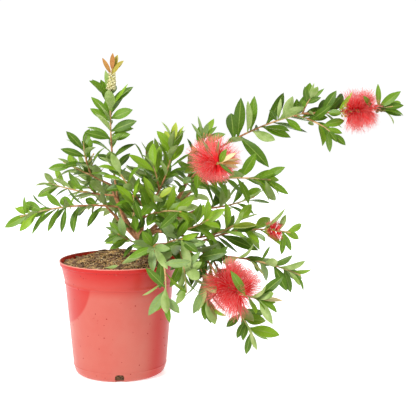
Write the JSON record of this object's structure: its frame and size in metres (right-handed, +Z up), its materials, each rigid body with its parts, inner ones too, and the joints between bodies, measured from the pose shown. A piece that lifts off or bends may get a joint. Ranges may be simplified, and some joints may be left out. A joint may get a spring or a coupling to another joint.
{
  "type": "potted bottlebrush shrub",
  "caption": "Young spreading evergreen shrub with lance leaves and red brush flowers, growing from a short trunk in a tapered red nursery pot.",
  "frame": {"origin": "centre of the pot's flat underside, on the surface it stands on", "axes": "+Z up; +X towards the long flowering branch, the plant's widest spread; -Y towards the side the picture shows"},
  "size_m": [0.6298, 0.3482, 0.5032],
  "materials": {
    "pot_plastic": "satin red moulded plastic, faded paler on its belly, worn",
    "compost": "moist brown potting compost with bark chips and straw fibres",
    "trunk_bark": "grey-brown cracked young bark",
    "bough_bark": "red-brown smooth bark",
    "leafy_shoots": "mid-green lance leaves, satin, paler beneath",
    "flowering_shoots": "red brush flowers on leafy green twigs"
  },
  "bodies": {
    "root": {"pot": "pot_plastic", "compost": "compost", "trunk": "trunk_bark", "bough_leader": "bough_bark", "bough_upper_left": "bough_bark", "bough_middle": "bough_bark", "bough_long_low": "bough_bark", "bough_long_high": "bough_bark", "bough_right": "bough_bark", "bough_low_right": "bough_bark", "bough_lower": "bough_bark", "bough_front": "bough_bark", "bough_back": "bough_bark", "bough_back_right": "bough_bark", "bough_back_left": "bough_bark", "shoot_top": "leafy_shoots", "shoot_young_front": "leafy_shoots", "shoot_upper_left": "leafy_shoots", "shoot_upper_left_spur": "leafy_shoots", "shoot_left_middle": "leafy_shoots", "shoot_left_long": "leafy_shoots", "shoot_inner_left": "leafy_shoots", "shoot_centre_up": "leafy_shoots", "shoot_centre_back": "leafy_shoots", "shoot_centre_flower": "flowering_shoots", "shoot_crown_right": "leafy_shoots", "shoot_right_arm": "leafy_shoots", "shoot_long_branch": "leafy_shoots", "shoot_long_up": "leafy_shoots", "shoot_long_drop": "leafy_shoots", "shoot_long_tip": "flowering_shoots", "shoot_right_middle": "leafy_shoots", "shoot_right_bright": "leafy_shoots", "shoot_small_flower": "flowering_shoots", "shoot_lower_right": "leafy_shoots", "shoot_low_flower": "flowering_shoots", "shoot_lowest": "leafy_shoots", "shoot_under_flower": "leafy_shoots", "shoot_pot_front": "leafy_shoots", "shoot_front_tuft": "leafy_shoots", "shoot_low_left": "leafy_shoots", "shoot_centre_front": "leafy_shoots", "shoot_centre_low": "leafy_shoots", "shoot_centre_right": "leafy_shoots", "shoot_centre_middle": "leafy_shoots", "shoot_right_hang": "leafy_shoots", "shoot_back_up": "leafy_shoots", "shoot_back_left": "leafy_shoots", "shoot_back_low_left": "leafy_shoots", "shoot_back_middle": "leafy_shoots", "shoot_back_right": "leafy_shoots", "shoot_back_low": "leafy_shoots"}
  },
  "joints": []
}
